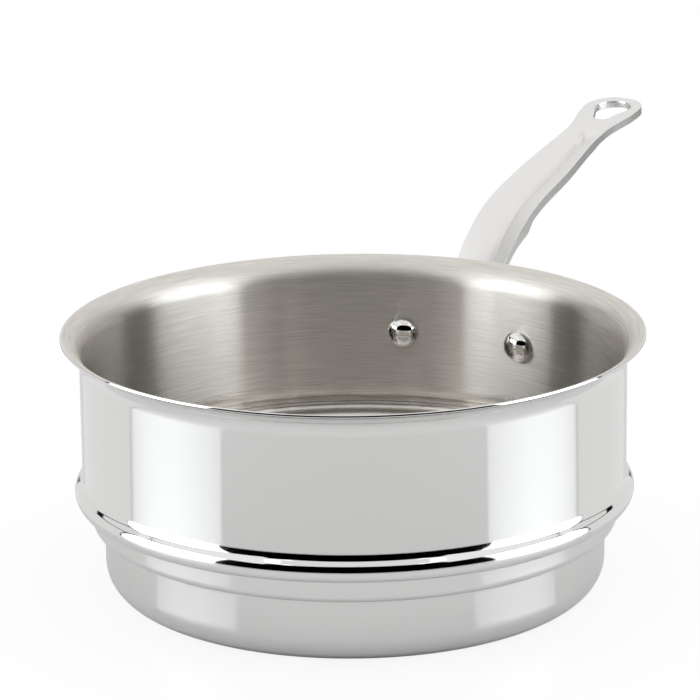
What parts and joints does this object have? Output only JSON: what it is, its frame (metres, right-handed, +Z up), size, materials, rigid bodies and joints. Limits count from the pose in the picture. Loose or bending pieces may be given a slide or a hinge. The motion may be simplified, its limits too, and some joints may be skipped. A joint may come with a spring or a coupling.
{
  "type": "steamer pot insert",
  "caption": "Handled steel steamer insert with perforated floor, flared rim and stepped, beaded wall that seats in saucepans of two sizes.",
  "frame": {"origin": "middle of the flat underside of the pot, where it stands", "axes": "+Z up along the pot's axis, +X along the handle"},
  "size_m": [0.3972, 0.2294, 0.1379],
  "materials": {
    "polished_sheet": "mirror polished outside, brushed round the inside",
    "satin_casting": "fine satin casting",
    "polished_rivet": "mirror polished dome"
  },
  "bodies": {
    "root": {"steamer_shell": "polished_sheet", "handle": "satin_casting", "rivet_left": "polished_rivet", "rivet_right": "polished_rivet"}
  },
  "joints": []
}
